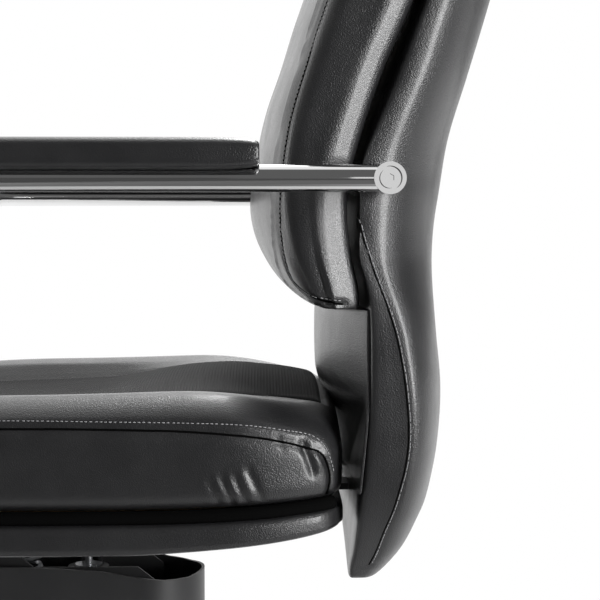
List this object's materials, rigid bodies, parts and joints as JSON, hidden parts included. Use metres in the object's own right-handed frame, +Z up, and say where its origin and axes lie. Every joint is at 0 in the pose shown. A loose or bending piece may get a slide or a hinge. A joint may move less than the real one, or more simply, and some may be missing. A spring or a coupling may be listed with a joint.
{
  "type": "executive office chair",
  "caption": "High-back executive chair with padded leather seat and back, bright arm loops, tilt mechanism, gas lift, star base and twin-wheel casters.",
  "frame": {"origin": "on the floor, on the gas lift's axis", "axes": "+Z up, the chair faces -Y, the sitter's left is +X"},
  "size_m": [0.6972, 0.8015, 1.15],
  "materials": {
    "black_leather": "fine pebble grain, semi-gloss",
    "ribbed_fabric": "matte, finely ribbed",
    "chrome": "mirror bright",
    "polished_aluminium": "polished",
    "plywood": "raw",
    "black_plastic": "moulded, satin",
    "wheel_nylon": "satin",
    "black_steel": "powder coat",
    "bare_steel": "zinc bright"
  },
  "bodies": {
    "base": {"star_base": "polished_aluminium", "gas_outer_tube": "black_steel", "guide_bush": "black_plastic", "lower_cover": "black_plastic"},
    "middle_stage": {"middle_cover": "black_plastic"},
    "spindle": {"piston_rod": "chrome", "rod_clip": "bare_steel", "thrust_bearing": "bare_steel"},
    "column": {"gas_cylinder": "bare_steel", "upper_cover": "black_plastic", "mechanism_housing": "black_steel", "mechanism_cover": "black_plastic", "tilt_axle": "bare_steel", "tilt_spring": "bare_steel", "lever_pin": "bare_steel"},
    "release": {"release_pin": "bare_steel"},
    "lever": {"lever_rod": "bare_steel", "lever_handle": "black_plastic"},
    "tension": {"tension_bolt": "bare_steel", "tension_knob": "black_plastic"},
    "seat": {"seat_plate": "black_steel", "seat_bolts": "bare_steel", "seat_board": "plywood", "base_panel": "black_leather", "seat_cushion": "black_leather", "centre_panel": "ribbed_fabric", "back_bracket": "black_steel", "bracket_bolts": "bare_steel", "back_board": "plywood", "back_shell": "black_leather", "back_cushion": "black_leather", "lower_back_pad": "black_leather", "arm_loop_left": "chrome", "arm_loop_right": "chrome", "arm_pad_left": "black_leather", "arm_pad_right": "black_leather", "boss_screws": "chrome", "arm_bolts": "bare_steel"},
    "caster_1": {"caster_hood_1": "black_plastic", "caster_stem_1": "bare_steel"},
    "wheels_1": {"caster_axle_1": "bare_steel", "caster_wheels_1": "wheel_nylon"},
    "caster_2": {"caster_hood_2": "black_plastic", "caster_stem_2": "bare_steel"},
    "wheels_2": {"caster_axle_2": "bare_steel", "caster_wheels_2": "wheel_nylon"},
    "caster_3": {"caster_hood_3": "black_plastic", "caster_stem_3": "bare_steel"},
    "wheels_3": {"caster_axle_3": "bare_steel", "caster_wheels_3": "wheel_nylon"},
    "caster_4": {"caster_hood_4": "black_plastic", "caster_stem_4": "bare_steel"},
    "wheels_4": {"caster_axle_4": "bare_steel", "caster_wheels_4": "wheel_nylon"},
    "caster_5": {"caster_hood_5": "black_plastic", "caster_stem_5": "bare_steel"},
    "wheels_5": {"caster_axle_5": "bare_steel", "caster_wheels_5": "wheel_nylon"}
  },
  "joints": [
    {"name": "swivel", "type": "hinge", "parent": "base", "child": "spindle", "pos_m": [0, 0, 0.2], "axis": [0, 0, 1], "continuous": true},
    {"name": "height", "type": "slide", "parent": "spindle", "child": "column", "axis": [0, 0, 1], "range_m": [0, 0.1]},
    {"name": "middle_stage_slide", "type": "slide", "parent": "base", "child": "middle_stage", "axis": [0, 0, 1], "range_m": [0, 0.05]},
    {"name": "tilt", "type": "hinge", "parent": "column", "child": "seat", "pos_m": [0, -0.11, 0.322], "axis": [-1, 0, 0], "range_deg": [0, 14], "stiffness_Nm_per_rad": 120, "springref_deg": -28.65, "deforming": ["tilt_spring"]},
    {"name": "lever_lift", "type": "hinge", "parent": "column", "child": "lever", "pos_m": [-0.038, 0, 0.306], "axis": [0, 1, 0], "range_deg": [0, 5], "stiffness_Nm_per_rad": 6, "springref_deg": -5.73},
    {"name": "release_press", "type": "slide", "parent": "column", "child": "release", "axis": [0, 0, -1], "range_m": [0, 0.0033]},
    {"name": "tension_turn", "type": "hinge", "parent": "column", "child": "tension", "pos_m": [0, -0.064, 0.22], "axis": [0, 0, 1], "continuous": true},
    {"name": "caster_swivel_1", "type": "hinge", "parent": "base", "child": "caster_1", "pos_m": [0, -0.3, 0.07], "axis": [0, 0, 1], "continuous": true},
    {"name": "wheel_roll_1", "type": "hinge", "parent": "caster_1", "child": "wheels_1", "pos_m": [0, -0.322, 0.03], "axis": [1, 0, 0], "continuous": true},
    {"name": "caster_swivel_2", "type": "hinge", "parent": "base", "child": "caster_2", "pos_m": [0.28532, -0.0927, 0.07], "axis": [0, 0, 1], "continuous": true},
    {"name": "wheel_roll_2", "type": "hinge", "parent": "caster_2", "child": "wheels_2", "pos_m": [0.30624, -0.0995, 0.03], "axis": [0.309, 0.9511, 0], "continuous": true},
    {"name": "caster_swivel_3", "type": "hinge", "parent": "base", "child": "caster_3", "pos_m": [0.17634, 0.24271, 0.07], "axis": [0, 0, 1], "continuous": true},
    {"name": "wheel_roll_3", "type": "hinge", "parent": "caster_3", "child": "wheels_3", "pos_m": [0.18927, 0.2605, 0.03], "axis": [-0.809, 0.5878, 0], "continuous": true},
    {"name": "caster_swivel_4", "type": "hinge", "parent": "base", "child": "caster_4", "pos_m": [-0.17634, 0.24271, 0.07], "axis": [0, 0, 1], "continuous": true},
    {"name": "wheel_roll_4", "type": "hinge", "parent": "caster_4", "child": "wheels_4", "pos_m": [-0.18927, 0.2605, 0.03], "axis": [-0.809, -0.5878, 0], "continuous": true},
    {"name": "caster_swivel_5", "type": "hinge", "parent": "base", "child": "caster_5", "pos_m": [-0.28532, -0.0927, 0.07], "axis": [0, 0, 1], "continuous": true},
    {"name": "wheel_roll_5", "type": "hinge", "parent": "caster_5", "child": "wheels_5", "pos_m": [-0.30624, -0.0995, 0.03], "axis": [0.309, -0.9511, 0], "continuous": true}
  ],
  "couplings": [
    {"joint": "middle_stage_slide", "follows": "height", "ratio": 0.5},
    {"joint": "release_press", "follows": "lever_lift", "m_per_rad": 0.0378}
  ]
}
